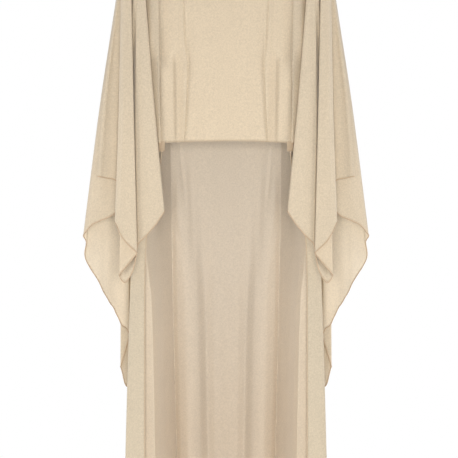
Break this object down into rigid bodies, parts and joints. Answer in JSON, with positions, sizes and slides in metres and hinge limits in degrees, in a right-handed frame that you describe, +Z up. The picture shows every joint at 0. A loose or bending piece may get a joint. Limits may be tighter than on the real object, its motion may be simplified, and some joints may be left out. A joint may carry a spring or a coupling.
{
  "type": "kaftan",
  "caption": "Floor-length kaftan with a short straight front, a long back panel and wide angel sleeves that fall in cascades, hanging hollow as worn",
  "frame": {"origin": "midway between the high points of the shoulders, where the wearer carries the garment, on the plane where the front and back panels meet", "axes": "+Z up; the front faces -Y; +X is the wearer's left; the garment is symmetric about the plane X = 0"},
  "size_m": [0.6974, 0.2648, 1.4678],
  "materials": {
    "front": "soft metallic sheen",
    "back": "soft metallic sheen",
    "sleeve_left": "soft metallic sheen",
    "sleeve_right": "soft metallic sheen"
  },
  "bodies": {
    "root": {"front": "front", "back": "back", "sleeve_left": "sleeve_left", "sleeve_right": "sleeve_right"}
  },
  "joints": []
}
